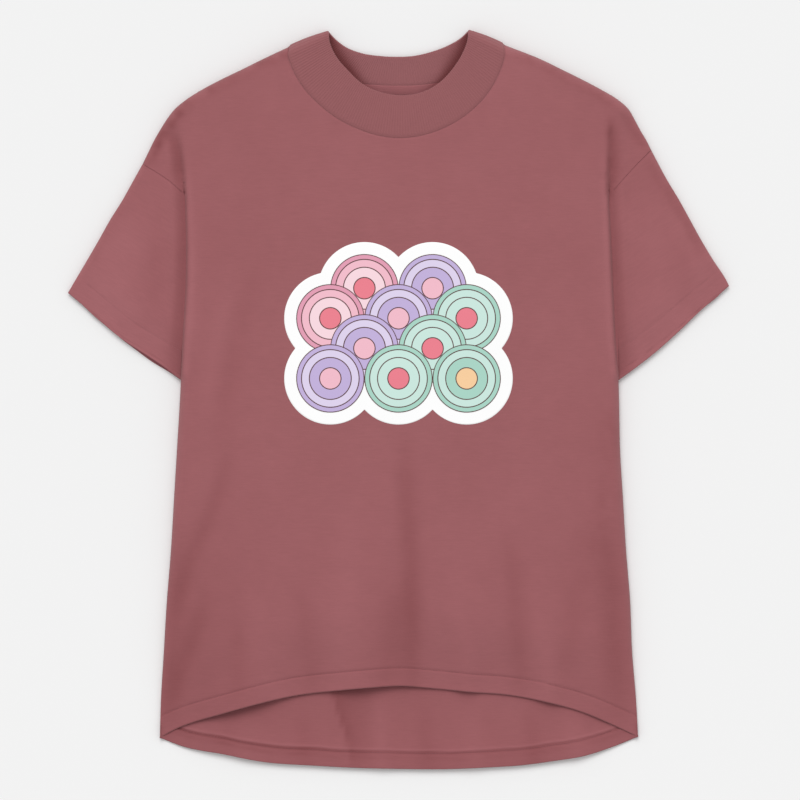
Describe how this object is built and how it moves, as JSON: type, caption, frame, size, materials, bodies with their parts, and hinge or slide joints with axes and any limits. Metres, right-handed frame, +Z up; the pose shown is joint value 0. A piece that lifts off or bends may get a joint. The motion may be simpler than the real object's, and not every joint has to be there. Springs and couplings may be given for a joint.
{
  "type": "t-shirt",
  "caption": "Oversized short-sleeved jersey t-shirt with a high ribbed neck, dropped shoulders and a curved hem longer at the back, lying flat on its back, with a print on the chest.",
  "frame": {"origin": "middle of the laid-out garment's bounding box, on the surface it lies on", "axes": "+Y along the garment from hem to neck, +Z up out of the chest, +X towards the sleeve at the right of the picture"},
  "size_m": [0.661, 0.7376, 0.0246],
  "materials": {
    "jersey": "matte slub single jersey, dusty rose",
    "rib_knit": "matte one by one rib knit, dusty rose",
    "tape": "matte jersey tape, dusty rose",
    "print_film": "smooth satin transfer film, white",
    "ink_rose": "smooth satin transfer ink, pink",
    "ink_mint": "smooth satin transfer ink, mint",
    "ink_lilac": "smooth satin transfer ink, lilac"
  },
  "bodies": {
    "root": {"front_panel": "jersey", "back_panel": "jersey", "right_sleeve": "jersey", "left_sleeve": "jersey", "collar": "rib_knit", "neck_tape": "tape", "chest_print": "print_film", "print_rose": "ink_rose", "print_mint": "ink_mint", "print_lilac": "ink_lilac"}
  },
  "joints": []
}
